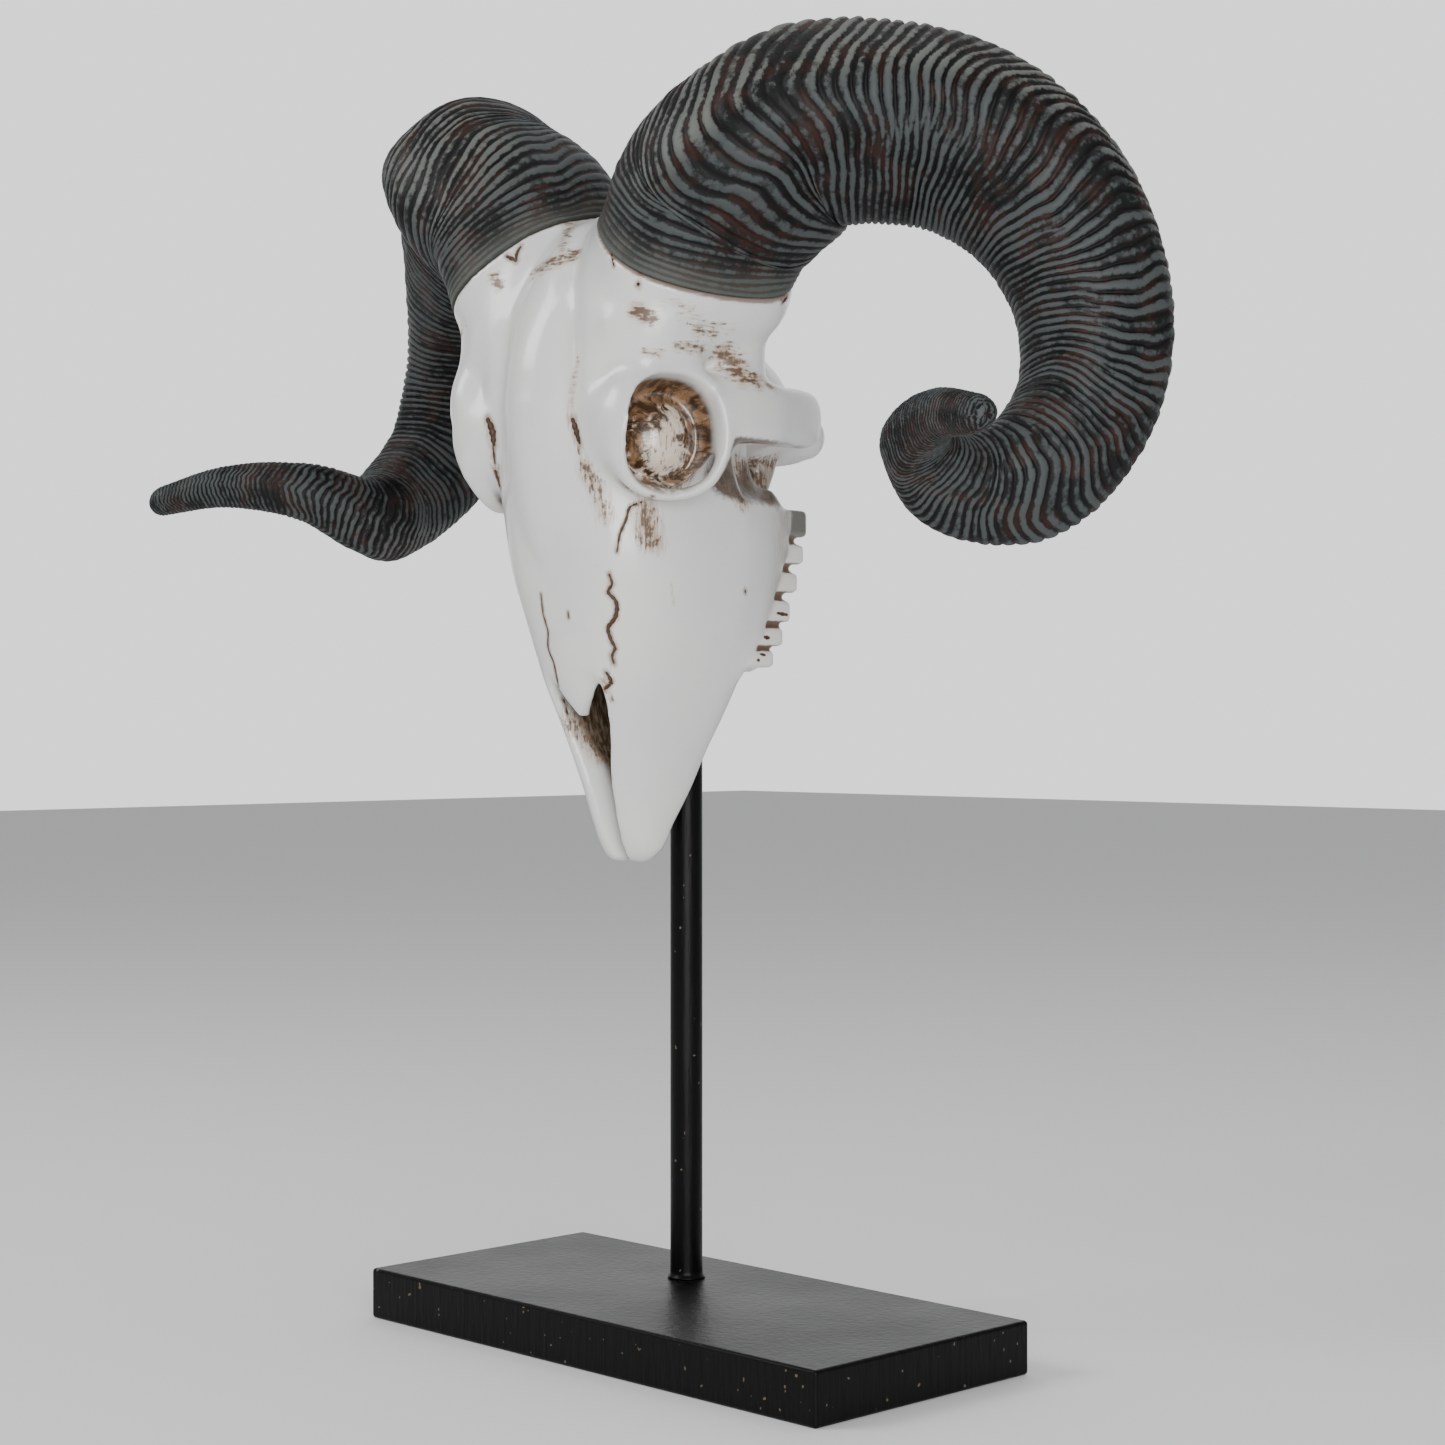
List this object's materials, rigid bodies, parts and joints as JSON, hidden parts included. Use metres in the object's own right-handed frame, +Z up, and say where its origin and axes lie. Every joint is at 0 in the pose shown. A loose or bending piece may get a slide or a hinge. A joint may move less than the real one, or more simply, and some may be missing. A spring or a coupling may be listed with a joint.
{
  "type": "ram skull sculpture on stand",
  "caption": "Cast ram skull sculpture with two ridged, curled horns, held upright by a round rod on a flat rectangular plate.",
  "frame": {"origin": "middle of the stand plate's underside", "axes": "+Z up, along the rod; the face looks along -Y; +X is towards the skull's own left"},
  "size_m": [0.5202, 0.1814, 0.5478],
  "materials": {
    "bone_resin": "off-white cast resin with a brown wash in the hollows, glossy varnish",
    "horn_resin": "near-black cast resin, dry brushed grey-green on the ridges, rust brown in the grooves",
    "stand_paint": "satin black paint"
  },
  "bodies": {
    "root": {"skull": "bone_resin", "horn_left": "horn_resin", "horn_right": "horn_resin", "stand_base": "stand_paint", "stand_rod": "stand_paint"}
  },
  "joints": []
}
